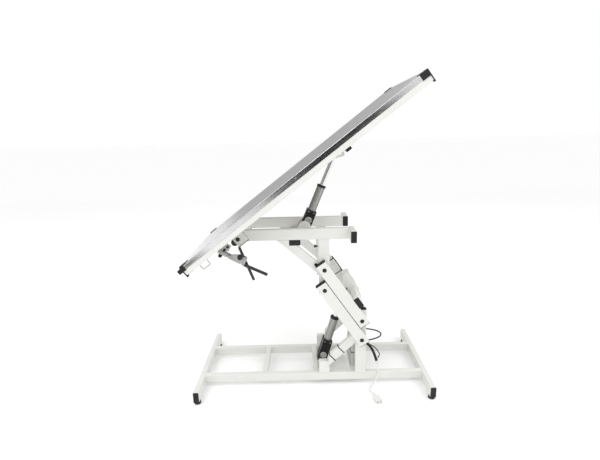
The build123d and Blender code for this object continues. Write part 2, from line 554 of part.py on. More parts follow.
def actuator(name, foot, head, housing_end, tube_end, tube_r, rod_start, screw_end):
    """Motor housing, outer tube, lead screw, and the hollow rod with its pin."""
    reach = hypot(head[0] - foot[0], head[1] - foot[1])
    turn = degrees(atan2(head[1] - foot[1], head[0] - foot[0]))
    place = Pos(foot[0], 0, foot[1]) * Rot(0, -turn, 0)
    mouth = housing_end - 40

    housing = block(19, housing_end, -HOUSING_HALF_Y, HOUSING_HALF_Y, -24, 24)
    housing = fillet(housing.edges().filter_by(Axis.X), 8)
    housing = fillet(housing.faces().sort_by(Axis.X)[-1].edges(), 2)
    neck = plate(Circle(EYE_R) + Pos(11, 0) * Rectangle(22, 2 * EYE_R), -31 + SLIDE_GAP, 31 - SLIDE_GAP)
    housing = housing + neck - pin(0, 0, PIN_R + FIT, -40, 40)
    housing -= rod((mouth, 0, 0), (mouth + 100, 0, 0), tube_r)
    save(f"{name}_housing", place * housing)

    outer = rod((mouth, 0, 0), (tube_end, 0, 0), tube_r)
    outer -= rod((mouth, 0, 0), (tube_end, 0, 0), tube_r - TUBE_WALL)
    for angle in (45, 135, 225, 315):
        groove = block(housing_end, tube_end, -2, 2, tube_r - 1.4, tube_r + 5)
        outer -= Rot(angle, 0, 0) * groove
    save(f"{name}_tube", place * outer)
    save(f"{name}_screw", place * rod((mouth, 0, 0), (screw_end, 0, 0), SCREW_R))

    ram = rod((rod_start, 0, 0), (reach - EYE_R + 2, 0, 0), ROD_R)
    ram += Pos(reach, 0, 0) * plate(Circle(EYE_R), -22 + SLIDE_GAP, 22 - SLIDE_GAP)
    ram -= rod((rod_start - 1, 0, 0), (reach - EYE_R - 4, 0, 0), SCREW_R + 1) + pin(reach, 0, PIN_R, -40, 40)
    save(f"{name}_rod", place * ram)
    pin_solid = pin(reach, 0, PIN_R, -28 - SLIDE_GAP, 28 + SLIDE_GAP)
    for side in (-1, 1):
        pin_solid += pin(reach, 0, 8, *span(side, 28 + SLIDE_GAP, 33))
    save(f"{name}_rod_pin", place * pin_solid)


actuator("lift", LIFT_FOOT, LIFT_HEAD, 125, 250, 20, 203, 235)
actuator("tilt", TILT_FOOT, TILT_HEAD, 92, 215, 19, 160, 200)


# ---- cables ------------------------------------------------------------------------------------------
POST_RIGHT = POST_X + 25
behind_post = block(POST_RIGHT - 20, POST_RIGHT, -200, 200, BASE_TOP, POST_TOP)
BUNDLE = [(POST_RIGHT - 6, -121, 217), (266, -121, 203), (284, -121, 175), (296, -121, 145), (304, -121, 118)]
save("cable_bundle", cord(BUNDLE, 13) - behind_post)
LOOP = [(POST_RIGHT - 4, -121, 287), (278, -121, 282), (304, -121, 274), (323, -121, 262), (321, -121, 246),
        (300, -121, 235), (275, -121, 228), (POST_RIGHT - 4, -121, 224)]
SIDE_LOOP = [(POST_RIGHT - 4, -110.5, 205), (272, -110.5, 199), (295, -110.5, 184), (313, -110.5, 161),
             (323, -110.5, 138), (312, -110.5, 123)]
save("cable_loops", cord(LOOP, 6) - behind_post, cord(SIDE_LOOP, 4.5) - behind_post)
LINK_CABLE = [on_link(250, 31, 121), on_link(215, 33, 121), on_link(180, 32, 122), on_link(140, 30.5, 121),
              on_link(115, 30.5, 121)]
save("link_cable", cord(LINK_CABLE, 6))

# strain relief at the foot of the bundle, then the mains lead down to the floor and its plug
relief_way = (Vector(*BUNDLE[-1]) - Vector(*BUNDLE[-2])).normalized()
relief_end = Vector(*BUNDLE[-1]) + relief_way * 22
save("lead_relief", Plane(origin=BUNDLE[-1], z_dir=relief_way) * Cone(8, 4.5, 22, align=FROM_BASE))
MAINS_LEAD = [tuple(relief_end), (313, -131, 76), (308, -144, 54), (298, -152, 34), (284, -158, 15),
              (268, -168, 4), (261, -187, 3.5), (267, -205, 6), (275, -221, 8.5)]
save("mains_lead", cord(MAINS_LEAD, 6))
PLUG_WAY = (0.25, -0.968, 0)
plug_frame = Plane(origin=MAINS_LEAD[-1], x_dir=(0, 0, 1), z_dir=PLUG_WAY)
plug = plug_frame * Cone(4.2, 6.5, 18, align=FROM_BASE)
grip = loft([plug_frame.offset(17) * RectangleRounded(13, 20, 5),
             plug_frame.offset(40) * RectangleRounded(16.5, 27, 6),
             plug_frame.offset(57) * RectangleRounded(16.5, 29, 6)])
plug_pins = [plug_frame.offset(57) * Pos(0, y, 0) * Cylinder(2.4, 14, align=FROM_BASE) for y in (-8, 8)]
save("mains_plug", plug + grip, *plug_pins)
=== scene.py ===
import math

import bmesh
import bpy
from mathutils import Matrix, Vector


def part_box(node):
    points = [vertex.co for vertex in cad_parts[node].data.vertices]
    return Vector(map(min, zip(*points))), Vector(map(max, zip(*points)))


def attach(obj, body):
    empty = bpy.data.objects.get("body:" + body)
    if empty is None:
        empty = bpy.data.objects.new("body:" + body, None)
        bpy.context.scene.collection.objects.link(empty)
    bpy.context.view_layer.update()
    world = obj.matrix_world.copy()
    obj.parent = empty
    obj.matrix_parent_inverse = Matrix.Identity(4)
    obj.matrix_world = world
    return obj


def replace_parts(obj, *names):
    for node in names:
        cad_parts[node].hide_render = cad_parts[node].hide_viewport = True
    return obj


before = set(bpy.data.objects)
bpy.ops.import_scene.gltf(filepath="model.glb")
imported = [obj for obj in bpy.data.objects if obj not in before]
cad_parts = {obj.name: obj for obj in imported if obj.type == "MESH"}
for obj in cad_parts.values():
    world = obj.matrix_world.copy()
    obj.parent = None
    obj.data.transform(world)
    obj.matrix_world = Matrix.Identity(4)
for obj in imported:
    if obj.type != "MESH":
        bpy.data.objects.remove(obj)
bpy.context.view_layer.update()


# ---- studio -------------------------------------------------------------------------------------------
# A wide pale floor under an even white surround, with two soft boxes overhead. The bright metal also
# mirrors two dark cards in front and a grey one behind, which only glossy faces see.
def surface(name, pale, dark, gloss, grain, bump, metal=0.0, clouds=5.0, lay=(1.0, 1.0, 1.0), turn=0.0,
            shine=0.5):
    """A finish whose colour and gloss drift in soft clouds, over a fine grain that also gives the relief.

    lay draws the grain out along one way, as brushing does, once it is turned about the cross axis.
    """
    made = bpy.data.materials.new(name)
    made.use_nodes = True
    tree = made.node_tree
    shader = tree.nodes["Principled BSDF"]
    shader.inputs["Metallic"].default_value = metal
    shader.inputs["Specular IOR Level"].default_value = shine
    place = tree.nodes.new("ShaderNodeTexCoord")
    laid = tree.nodes.new("ShaderNodeMapping")
    laid.vector_type = "TEXTURE"
    laid.inputs["Rotation"].default_value = (0.0, turn, 0.0)
    laid.inputs["Scale"].default_value = lay
    tree.links.new(place.outputs["Object"], laid.inputs["Vector"])
    cloud = tree.nodes.new("ShaderNodeTexNoise")
    cloud.inputs["Scale"].default_value = clouds
    cloud.inputs["Detail"].default_value = 5.0
    tree.links.new(place.outputs["Object"], cloud.inputs["Vector"])
    fine = tree.nodes.new("ShaderNodeTexNoise")
    fine.inputs["Scale"].default_value = grain
    fine.inputs["Detail"].default_value = 3.0
    tree.links.new(laid.outputs["Vector"], fine.inputs["Vector"])
    both = tree.nodes.new("ShaderNodeMath")
    both.operation = "MULTIPLY_ADD"
    both.inputs[1].default_value = 0.4
    tree.links.new(fine.outputs["Fac"], both.inputs[0])
    tree.links.new(cloud.outputs["Fac"], both.inputs[2])
    tone = tree.nodes.new("ShaderNodeValToRGB")
    tone.color_ramp.elements[0].position = 0.5
    tone.color_ramp.elements[0].color = (*dark, 1.0)
    tone.color_ramp.elements[1].position = 0.9
    tone.color_ramp.elements[1].color = (*pale, 1.0)
    tree.links.new(both.outputs["Value"], tone.inputs["Fac"])
    tree.links.new(tone.outputs["Color"], shader.inputs["Base Color"])
    sheen = tree.nodes.new("ShaderNodeMapRange")
    sheen.inputs["From Min"].default_value = 0.3
    sheen.inputs["From Max"].default_value = 0.7
    sheen.inputs["To Min"].default_value = gloss[0]
    sheen.inputs["To Max"].default_value = gloss[1]
    tree.links.new(fine.outputs["Fac"], sheen.inputs["Value"])
    tree.links.new(sheen.outputs["Result"], shader.inputs["Roughness"])
    relief = tree.nodes.new("ShaderNodeBump")
    relief.inputs["Strength"].default_value = bump
    relief.inputs["Distance"].default_value = 0.0004
    tree.links.new(fine.outputs["Fac"], relief.inputs["Height"])
    tree.links.new(relief.outputs["Normal"], shader.inputs["Normal"])
    return made


bpy.ops.object.select_all(action="DESELECT")
bpy.ops.mesh.primitive_plane_add(size=120)
floor = bpy.context.object
floor.name = "studio_floor"
floor.data.materials.append(surface("studio_floor_paint", (0.985, 0.985, 0.985), (0.975, 0.975, 0.975),
                                    (0.7, 0.8), 60, 0.05))

surround = bpy.data.worlds.new("studio_surround")
surround.use_nodes = True
surround.node_tree.nodes["Background"].inputs["Color"].default_value = (1.0, 1.0, 1.0, 1.0)
surround.node_tree.nodes["Background"].inputs["Strength"].default_value = 1.0
bpy.context.scene.world = surround
bpy.context.scene.view_settings.view_transform = "Standard"

for name, place, watts, size in (("soft_box_left", (-1.8, -2.0, 3.4), 42, 2.4),
                                 ("soft_box_right", (2.2, -1.4, 3.0), 26, 2.0)):
    lamp = bpy.data.lights.new(name, "AREA")
    lamp.energy = watts
    lamp.size = size
    box = bpy.data.objects.new(name, lamp)
    box.location = place
    box.rotation_euler = (Vector((0.0, 0.0, 0.7)) - Vector(place)).to_track_quat("-Z", "Y").to_euler()
    bpy.context.collection.objects.link(box)


def card(name, centre, size, turn, tone):
    """A flat card that only shines back from glossy faces."""
    bpy.ops.object.select_all(action="DESELECT")
    bpy.ops.mesh.primitive_plane_add(size=1, location=centre, rotation=turn)
    sheet = bpy.context.object
    sheet.name = name
    sheet.scale = (*size, 1.0)
    paint = bpy.data.materials.new(name + "_tone")
    paint.use_nodes = True
    nodes = paint.node_tree.nodes
    nodes.remove(nodes["Principled BSDF"])
    glow = nodes.new("ShaderNodeEmission")
    glow.inputs["Color"].default_value = (tone, tone, tone, 1.0)
    paint.node_tree.links.new(glow.outputs["Emission"], nodes["Material Output"].inputs["Surface"])
    sheet.data.materials.append(paint)
    sheet.visible_camera = False
    sheet.visible_diffuse = False
    sheet.visible_shadow = False
    sheet.visible_transmission = False


card("dark_card", (0.10, -4.2, 0.95), (3.3, 1.3), (math.pi / 2, 0.0, 0.0), 0.03)
card("dark_corner", (-1.25, -2.2, 0.03), (0.8, 0.55), (0.0, 0.0, 0.0), 0.05)
card("grey_card", (0.0, 6.0, 1.6), (12.0, 3.0), (math.pi / 2, 0.0, 0.0), 0.46)

LENS = 23.1
CAMERA_PLACE = (-0.0382, -1.7645, 1.1797)
CAMERA_YAW, CAMERA_DOWN, CAMERA_ROLL = (math.radians(angle) for angle in (-0.284, 13.956, -1.5))
forward = Vector((math.sin(CAMERA_YAW) * math.cos(CAMERA_DOWN),
                  math.cos(CAMERA_YAW) * math.cos(CAMERA_DOWN),
                  -math.sin(CAMERA_DOWN)))
level = Vector((math.cos(CAMERA_YAW), -math.sin(CAMERA_YAW), 0.0))
upright = level.cross(forward)
camera_x = math.cos(CAMERA_ROLL) * level + math.sin(CAMERA_ROLL) * upright
camera_y = math.cos(CAMERA_ROLL) * upright - math.sin(CAMERA_ROLL) * level
lens = bpy.data.cameras.new("camera")
lens.lens = LENS
lens.sensor_width = 36
camera = bpy.data.objects.new("camera", lens)
camera.matrix_world = Matrix.Translation(CAMERA_PLACE) @ Matrix((camera_x, camera_y,
                                                                 -forward)).transposed().to_4x4()
bpy.context.collection.objects.link(camera)
bpy.context.scene.camera = camera


# ---- cables -------------------------------------------------------------------------------------------
# Black sheathed cables leave the right face of the front post: a thick bundle that hangs down to a
# strain relief, and two thinner loops. One more runs along the rear link, held by cable ties.
black_sheath = surface("black_cable_sheath", (0.016, 0.016, 0.017), (0.009, 0.009, 0.010), (0.38, 0.55),
                       900, 0.25, shine=0.25)


def cable(name, body, route, diameter, finish):
    """A round cable on one smooth spline, whose control points are its route."""
    curve = bpy.data.curves.new(name, "CURVE")
    curve.dimensions = "3D"
    curve.bevel_depth = diameter / 2
    curve.bevel_resolution = 5
    curve.use_fill_caps = True
    spline = curve.splines.new("NURBS")
    spline.points.add(len(route) - 1)
    for control, place in zip(spline.points, route):
        control.co = (*place, 1.0)
    spline.order_u = 3
    spline.use_endpoint_u = True
    spline.resolution_u = 16
    curve.materials.append(finish)
    piece = bpy.data.objects.new(name, curve)
    bpy.context.collection.objects.link(piece)
    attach(piece, body)
    return piece


BUNDLE = [(0.251, -0.121, 0.2136), (0.266, -0.121, 0.203), (0.284, -0.121, 0.175), (0.296, -0.121, 0.145),
          (0.304, -0.121, 0.118)]
bundle = cable("cable_bundle_sheath", "base", BUNDLE, 0.013, black_sheath)
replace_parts(bundle, "cable_bundle")

LOOP = [(0.251, -0.121, 0.2863), (0.278, -0.121, 0.282), (0.304, -0.121, 0.274), (0.323, -0.121, 0.262),
        (0.321, -0.121, 0.246), (0.300, -0.121, 0.235), (0.275, -0.121, 0.228), (0.251, -0.121, 0.2246)]
loop = cable("cable_loop_front", "base", LOOP, 0.006, black_sheath)
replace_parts(loop, "cable_loops")

SIDE_LOOP = [(0.251, -0.1105, 0.204), (0.272, -0.1105, 0.199), (0.295, -0.1105, 0.184),
             (0.313, -0.1105, 0.161),
             (0.323, -0.1105, 0.138), (0.312, -0.1105, 0.123)]
side_loop = cable("cable_loop_side", "base", SIDE_LOOP, 0.0045, black_sheath)
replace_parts(side_loop, "cable_loops")

# the upper links run between two pivots; a place on one is given along it and off its right-hand edge
LINK_LOW = Vector((0.2265, 0.0, 0.345))
LINK_WAY = Vector((-0.5608, 0.0, 0.8280))
LINK_ACROSS = Vector((0.8280, 0.0, 0.5608))


def on_link(along, off, y):
    """A point on an upper link, in metres."""
    return LINK_LOW + LINK_WAY * along + LINK_ACROSS * off + Vector((0.0, y, 0.0))


LINK_CABLE = [on_link(0.250, 0.031, 0.121), on_link(0.215, 0.033, 0.121), on_link(0.180, 0.032, 0.122),
              on_link(0.140, 0.0305, 0.121), on_link(0.115, 0.0305, 0.121)]
link_cable = cable("link_cable_sheath", "upper_links", LINK_CABLE, 0.006, black_sheath)
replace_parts(link_cable, "link_cable")


# ---- mains lead ---------------------------------------------------------------------------------------
# A light grey mains lead hangs from the strain relief, folds once on the floor and ends in a moulded
# two-pin plug with a ribbed relief of its own, finger hollows in the grip, and sleeved pins.
lead_grey = surface("lead_grey_vinyl", (0.76, 0.76, 0.74), (0.66, 0.66, 0.64), (0.35, 0.5), 500, 0.12)
pin_metal = surface("plug_pin_nickel", (0.74, 0.73, 0.70), (0.58, 0.57, 0.55), (0.2, 0.32), 700, 0.05,
                    metal=1.0)


def finish_mesh(piece, name, body, finish, angle=35.0):
    """Closes a modelled piece: doubles merged, faces outwards, place applied, smooth, on its body."""
    bpy.ops.object.mode_set(mode="EDIT")
    bpy.ops.mesh.select_all(action="SELECT")
    bpy.ops.mesh.remove_doubles(threshold=0.00001)
    bpy.ops.mesh.normals_make_consistent(inside=False)
    bpy.ops.object.mode_set(mode="OBJECT")
    bpy.ops.object.transform_apply(location=True, rotation=True, scale=True)
    bpy.ops.object.shade_smooth_by_angle(angle=math.radians(angle))
    piece.name = name
    piece.data.name = name
    piece.data.materials.clear()
    piece.data.materials.append(finish)
    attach(piece, body)
    return piece


def turned(start, way, profile, sides=32):
    """A round piece drawn ring by ring along a way; the profile lists each ring's distance and radius."""
    way = Vector(way).normalized()
    start = Vector(start)
    bpy.ops.object.select_all(action="DESELECT")
    bpy.ops.mesh.primitive_circle_add(vertices=sides, radius=profile[0][1], fill_type="NGON",
                                      location=start + way * profile[0][0],
                                      rotation=way.to_track_quat("Z", "Y").to_euler())
    piece = bpy.context.object
    bpy.ops.object.transform_apply(location=True, rotation=True, scale=True)
    bpy.ops.object.mode_set(mode="EDIT")
    bpy.ops.mesh.select_all(action="SELECT")
    for (before, radius), (after, next_radius) in zip(profile, profile[1:]):
        bpy.ops.mesh.extrude_region_move(TRANSFORM_OT_translate={"value": way * (after - before)})
        share = next_radius / radius
        bpy.ops.transform.resize(value=(share, share, share), center_override=start + way * after)
    bpy.ops.object.mode_set(mode="OBJECT")
    return piece


def pick(piece, wanted):
    """In edit mode, selects the faces whose centre and normal are wanted.

    In vertex mode an unwanted neighbour can undo the choice, so face mode is set first where it matters.
    """
    mesh = bmesh.from_edit_mesh(piece.data)
    mesh.normal_update()
    for face in mesh.faces:
        face.select_set(bool(wanted(face.calc_center_median(), face.normal)))
    mesh.select_flush_mode()
    bmesh.update_edit_mesh(piece.data)


def apply_bevel(piece, width, segments=3, angle=35.0):
    """Rounds a piece's sharp edges."""
    rounding = piece.modifiers.new("rounding", "BEVEL")
    rounding.width = width
    rounding.segments = segments
    rounding.limit_method = "ANGLE"
    rounding.angle_limit = math.radians(angle)
    bpy.context.view_layer.objects.active = piece
    bpy.ops.object.modifier_apply(modifier=rounding.name)


def together(pieces):
    """Joins pieces into the first one."""
    bpy.ops.object.select_all(action="DESELECT")
    for piece in pieces:
        piece.select_set(True)
    bpy.context.view_layer.objects.active = pieces[0]
    bpy.ops.object.join()
    return pieces[0]


bundle_end, relief_way = Vector(BUNDLE[-1]), (Vector(BUNDLE[-1]) - Vector(BUNDLE[-2])).normalized()
relief_end = bundle_end + relief_way * 0.022
ribs = [(0.0, 0.0082), (0.004, 0.0082)]
for step in range(5):
    here = 0.0045 + step * 0.0034
    ribs += [(here, 0.0062 - step * 0.0004), (here + 0.0012, 0.0062 - step * 0.0004),
             (here + 0.0013, 0.0072 - step * 0.0005), (here + 0.0030, 0.0070 - step * 0.0005)]
ribs += [(0.022, 0.0046)]
relief = turned(bundle_end, relief_way, ribs)
finish_mesh(relief, "lead_strain_relief", "base", lead_grey)
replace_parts(relief, "lead_relief")

MAINS_LEAD = [tuple(relief_end), (0.313, -0.131, 0.076), (0.308, -0.144, 0.054), (0.298, -0.152, 0.034),
              (0.284, -0.158, 0.015), (0.268, -0.168,
                                       0.004), (0.261, -0.187, 0.0035), (0.267, -0.205, 0.006),
              (0.275, -0.221, 0.0085)]
lead = cable("mains_lead_cord", "base", MAINS_LEAD, 0.006, lead_grey)
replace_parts(lead, "mains_lead")

PLUG_WAY = Vector((0.25, -0.968, 0.0)).normalized()
PLUG_SIDE = Vector((0.968, 0.25, 0.0)).normalized()
plug_start = Vector(MAINS_LEAD[-1])
plug_rings = [(0.0, 0.0038)]
for step in range(4):
    here = 0.001 + step * 0.004
    plug_rings += [(here, 0.0046 + step * 0.0004), (here + 0.0022, 0.0048 + step * 0.0004),
                   (here + 0.0024, 0.0040 + step * 0.0004), (here + 0.0038, 0.0041 + step * 0.0004)]
plug_rings += [(0.0178, 0.0062), (0.0190, 0.0062)]
plug_neck = turned(plug_start, PLUG_WAY, plug_rings)

bpy.ops.object.select_all(action="DESELECT")
bpy.ops.mesh.primitive_cube_add(size=1, location=plug_start + PLUG_WAY * 0.0375,
                                rotation=(0.0, 0.0, math.atan2(PLUG_WAY.y, PLUG_WAY.x)),
                                scale=(0.040, 0.029, 0.0165))
grip = bpy.context.object
bpy.ops.object.transform_apply(location=True, rotation=True, scale=True)
bpy.ops.object.mode_set(mode="EDIT")
bpy.ops.mesh.select_all(action="SELECT")
bpy.ops.mesh.inset(thickness=0.0055, depth=-0.0012, use_individual=True)
bpy.ops.object.mode_set(mode="OBJECT")
apply_bevel(grip, 0.0028, 4)
plug = finish_mesh(together([grip, plug_neck]), "mains_plug_grip", "base", lead_grey)
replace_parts(plug, "mains_plug")
pins = [turned(plug_start + PLUG_WAY * 0.0565 + PLUG_SIDE * side * 0.008, PLUG_WAY,
               [(0.0, 0.0024), (0.0075, 0.0024), (0.0076, 0.0021), (0.0128, 0.0021), (0.0145, 0.0011)], 20)
        for side in (-1, 1)]
plug_pins = finish_mesh(together(pins), "mains_plug_pins", "base", pin_metal)
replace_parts(plug_pins, "mains_plug")


# ---- base frame ---------------------------------------------------------------------------------------
# Two cross tubes joined by two rails, short tubes between the rails, and braced posts. All of it is
# rectangular steel tube, welded, then covered with a satin white powder coat that has a fine orange peel.
white_coat = surface("white_powder_coat", (0.71, 0.715, 0.685), (0.67, 0.675, 0.645), (0.32, 0.46), 700,
                     0.16, clouds=9.0)


def wear(finish, *names):
    """Gives a finish to CAD nodes."""
    for name in names:
        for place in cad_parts[name].material_slots:
            place.material = finish


wear(white_coat, "base_cross_tubes", "base_rails", "base_mid_tubes", "base_posts", "base_braces",
     "lift_ears",
     "control_shelf")


def weld(name, body, runs, finish):
    """Rippled fillet welds along straight runs, given by their two ends."""
    beads = []
    for start, end in runs:
        way = Vector(end) - Vector(start)
        count = max(3, int(way.length / 0.003))
        ripple = []
        for step in range(count + 1):
            here = way.length * step / count
            ripple.append((here, 0.0017 if step % 2 else 0.0022))
        beads.append(turned(start, way, [(0.0, 0.0010)] + ripple[1:-1] + [(way.length, 0.0010)], 10))
    return finish_mesh(together(beads), name, body, finish, angle=60.0)


RAIL_NEAR, RAIL_FAR = 0.109, 0.134
BASE_TOP, RAIL_BOTTOM = 0.065, 0.025
CROSS_INNER = 0.521
rail_runs = []
for x in (-CROSS_INNER, CROSS_INNER):
    for side in (-1, 1):
        rail_runs.append(((x, side * RAIL_FAR, RAIL_BOTTOM), (x, side * RAIL_FAR, BASE_TOP)))
        rail_runs.append(((x, side * RAIL_NEAR, RAIL_BOTTOM), (x, side * RAIL_NEAR, BASE_TOP)))
for x_low, x_high in ((-0.246, -0.221), (0.0, 0.025)):
    for side in (-1, 1):
        for x in (x_low, x_high):
            rail_runs.append(((x, side * RAIL_NEAR, RAIL_BOTTOM + 0.002),
                              (x, side * RAIL_NEAR, BASE_TOP - 0.002)))
for side in (-1, 1):
    y = side * RAIL_FAR
    rail_runs.append(((0.203, y, BASE_TOP), (0.249, y, BASE_TOP)))
    rail_runs.append(((0.030, y, BASE_TOP), (0.076, y, BASE_TOP)))
    rail_runs.append(((0.0742, y, 0.102), (0.0742, y, 0.154)))
    for x in (0.201, 0.251):
        rail_runs.append(((x, side * RAIL_NEAR, BASE_TOP), (x, side * RAIL_FAR, BASE_TOP)))
weld("base_welds", "base", rail_runs, white_coat)

# moulded black caps close every tube, and a rubber foot stands under each end of the cross tubes
black_moulding = surface("black_moulding", (0.020, 0.020, 0.021), (0.012, 0.012, 0.013), (0.42, 0.6), 1400,
                         0.3, shine=0.25)
foot_rubber = surface("foot_rubber", (0.036, 0.035, 0.034), (0.022, 0.022, 0.021), (0.6, 0.8), 600, 0.35)
wear(black_moulding, "base_caps")
wear(foot_rubber, "base_feet")

# black oxide bolts, with a hexagon socket and a washer under each head
black_oxide = surface("black_oxide_steel", (0.034, 0.034, 0.036), (0.018, 0.018, 0.019), (0.3, 0.45), 1100,
                      0.12, metal=0.6)
wear(black_oxide, "base_bolts")


def bolt_dress(name, body, places, finish):
    """A thin washer behind each bolt head and a socket rim on its face; places give x, y and z of the face."""
    dressed = []
    for x, y, z in places:
        outward = Vector((0.0, math.copysign(1.0, y), 0.0))
        face = Vector((x, y, z))
        dressed.append(turned(face - outward * 0.0052, outward,
                              [(0.0, 0.0092), (0.0001, 0.0095), (0.0009, 0.0095), (0.0011, 0.0091),
                               (0.0011, 0.0060)], 36))
        socket = turned(face - outward * 0.0012, outward,
                        [(0.0, 0.0046), (0.0011, 0.0046), (0.0014, 0.0042), (0.0014, 0.0031),
                         (0.0002, 0.0029)], 6)
        dressed.append(socket)
    return finish_mesh(together(dressed), name, body, finish)


LINK_BOLT_FACE = 0.1673
bolt_dress("base_bolt_washers", "base",
           [(0.2265, side * LINK_BOLT_FACE, z) for side in (-1, 1) for z in (0.345, 0.249)],
           black_oxide)


# ---- control box --------------------------------------------------------------------------------------
# A grey plastic case on a steel shelf between the rails. It houses the supply for both actuators; it has
# a lid seam, and a row of round sockets on the right face for the cables.
case_plastic = surface("case_plastic", (0.56, 0.57, 0.53), (0.48, 0.49, 0.455), (0.45, 0.6), 900, 0.25)
wear(case_plastic, "control_box")
box_low, box_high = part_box("control_box")
seam_z = box_low[2] + 0.62 * (box_high[2] - box_low[2])
bpy.ops.object.select_all(action="DESELECT")
bpy.ops.mesh.primitive_cube_add(size=1, location=((box_low[0] + box_high[0]) / 2, 0.0, seam_z),
                                scale=(box_high[0] - box_low[0] + 0.0018, 0.1618, 0.0032))
seam = bpy.context.object
bpy.ops.object.transform_apply(location=True, rotation=True, scale=True)
bpy.ops.object.mode_set(mode="EDIT")
bpy.ops.mesh.select_mode(type="FACE")
pick(seam, lambda centre, normal: abs(normal.z) > 0.9)
bpy.ops.mesh.inset(thickness=0.0032)
bpy.ops.mesh.delete(type="FACE")
bpy.ops.mesh.select_mode(type="VERT")
bpy.ops.object.mode_set(mode="OBJECT")
wall = seam.modifiers.new("wall", "SOLIDIFY")
wall.thickness = 0.0006
bpy.context.view_layer.objects.active = seam
bpy.ops.object.modifier_apply(modifier=wall.name)
finish_mesh(seam, "control_box_seam", "base", black_moulding)

sockets = []
for y in (-0.052, -0.026, 0.0, 0.026, 0.052):
    sockets.append(turned((box_high[0] - 0.0005, y, box_low[2] + 0.030), (1.0, 0.0, 0.0),
                          [(0.0, 0.0085), (0.0030, 0.0085), (0.0036, 0.0079), (0.0036, 0.0056),
                           (0.0010, 0.0054),
                           (0.0010, 0.0020), (0.0030, 0.0018)], 24))
finish_mesh(together(sockets), "control_box_sockets", "base", black_moulding)


# ---- links --------------------------------------------------------------------------------------------
# Four parallel links of the same white tube carry the upper frame. Each turns on brass bushes, has a
# black cap on its upper end, and on its lower end a thin black plate that is painted shade for the dark
# line there. Lever plates take the lift rod.
wear(white_coat, "upper_links", "lower_links", "link_cross_tube", "lever_plates")
wear(black_moulding, "upper_link_caps", "lower_link_caps")
bush_brass = surface("bush_brass", (0.66, 0.50, 0.25), (0.48, 0.35, 0.16), (0.25, 0.4), 900, 0.08,
                     metal=1.0)
wear(bush_brass, "upper_link_bushes", "lower_link_bushes")
LINK_MIDDLE_Y = 0.1495
LINK_DROP = Vector((0.0, 0.0, -0.096))
link_tilt = -math.atan2(LINK_WAY.z, LINK_WAY.x)


def link_end_shade_plate(centre):
    """A thin black plate over the open lower end of a link: painted shade, standing in for the dark line
    there.
    """
    bpy.ops.object.select_all(action="DESELECT")
    bpy.ops.mesh.primitive_cube_add(size=1, location=centre, rotation=(0.0, link_tilt, 0.0),
                                    scale=(0.0022, 0.025, 0.050))
    piece = bpy.context.object
    bpy.ops.object.transform_apply(location=True, rotation=True, scale=True)
    apply_bevel(piece, 0.0007, 2)
    return piece


# black plates on the links' lower ends: painted shade for the dark line at each tube's end
for body, drop in (("upper_links", Vector()), ("lower_links", LINK_DROP)):
    ends = [link_end_shade_plate(on_link(-0.0256, 0.0, side * LINK_MIDDLE_Y) + drop) for side in (-1, 1)]
    finish_mesh(together(ends), body + "_lower_shade_plates", body, black_moulding)


def tie(centre, way, across, width, height):
    """A cable tie round a rectangular tube, with its locking head; returned as one loose piece."""
    way, across = Vector(way).normalized(), Vector(across).normalized()
    turn = Matrix((way, across, way.cross(across))).transposed().to_euler()
    bpy.ops.object.select_all(action="DESELECT")
    bpy.ops.mesh.primitive_cube_add(size=1, location=centre, rotation=turn,
                                    scale=(0.0034, width + 0.0012, height + 0.0012))
    band = bpy.context.object
    bpy.ops.object.transform_apply(location=True, rotation=True, scale=True)
    wall = band.modifiers.new("wall", "SOLIDIFY")
    wall.thickness = 0.0012
    wall.offset = 1.0
    bpy.context.view_layer.objects.active = band
    bpy.ops.object.modifier_apply(modifier=wall.name)
    apply_bevel(band, 0.0005, 2)
    bpy.ops.object.select_all(action="DESELECT")
    bpy.ops.mesh.primitive_cube_add(size=1, location=Vector(centre) + across * (width / 2 + 0.0024),
                                    rotation=turn,
                                    scale=(0.0058, 0.0042, 0.0065))
    head = bpy.context.object
    bpy.ops.object.transform_apply(location=True, rotation=True, scale=True)
    apply_bevel(head, 0.0006, 2)
    return together([band, head])


tie_nylon = surface("tie_nylon", (0.035, 0.035, 0.035), (0.020, 0.020, 0.020), (0.35, 0.5), 900, 0.15)
link_ties = [tie(on_link(along, 0.0, LINK_MIDDLE_Y), LINK_WAY, LINK_ACROSS, 0.050,
                 0.025) for along in (0.2316, 0.1525)]
finish_mesh(together(link_ties), "link_cable_ties", "upper_links", tie_nylon)

# two ties on the front brace hold the cables that run inside its angle
BRACE_RISE = math.radians(43)
BRACE_WAY = (math.cos(BRACE_RISE), 0.0, math.sin(BRACE_RISE))
BRACE_ACROSS = (-math.sin(BRACE_RISE), 0.0, math.cos(BRACE_RISE))
brace_ties = [tie((x, -0.1215, z), BRACE_WAY, BRACE_ACROSS, 0.040, 0.025) for x,
              z in ((0.092, 0.1451), (0.134, 0.1850))]
finish_mesh(together(brace_ties), "brace_cable_ties", "base", tie_nylon)


# ---- upper frame --------------------------------------------------------------------------------------
# Two level rails on two posts, with a stub across each rail's right end for the deck to rest on, long
# braces, and a cross tube underneath whose ears hold the foot of the tilt actuator.
wear(white_coat, "upper_rails", "upper_stubs", "upper_posts", "upper_braces", "upper_cross_tube",
     "tilt_ears")
wear(black_moulding, "upper_frame_caps")
wear(black_oxide, "upper_bolts")
bolt_dress("upper_bolt_washers", "upper_frame",
           [(0.0576, side * LINK_BOLT_FACE, z) for side in (-1, 1) for z in (0.5945, 0.4985)],
           black_oxide)
UPPER_BOTTOM = 0.729
frame_runs = []
for side in (-1, 1):
    for x in (0.033, 0.082):
        frame_runs.append(((x, side * RAIL_NEAR, UPPER_BOTTOM), (x, side * RAIL_FAR, UPPER_BOTTOM)))
    frame_runs.append(((0.035, side * RAIL_FAR, UPPER_BOTTOM), (0.080, side * RAIL_FAR, UPPER_BOTTOM)))
    frame_runs.append(((0.1675, side * RAIL_FAR, UPPER_BOTTOM + 0.002), (0.1675, side * RAIL_FAR, 0.777)))
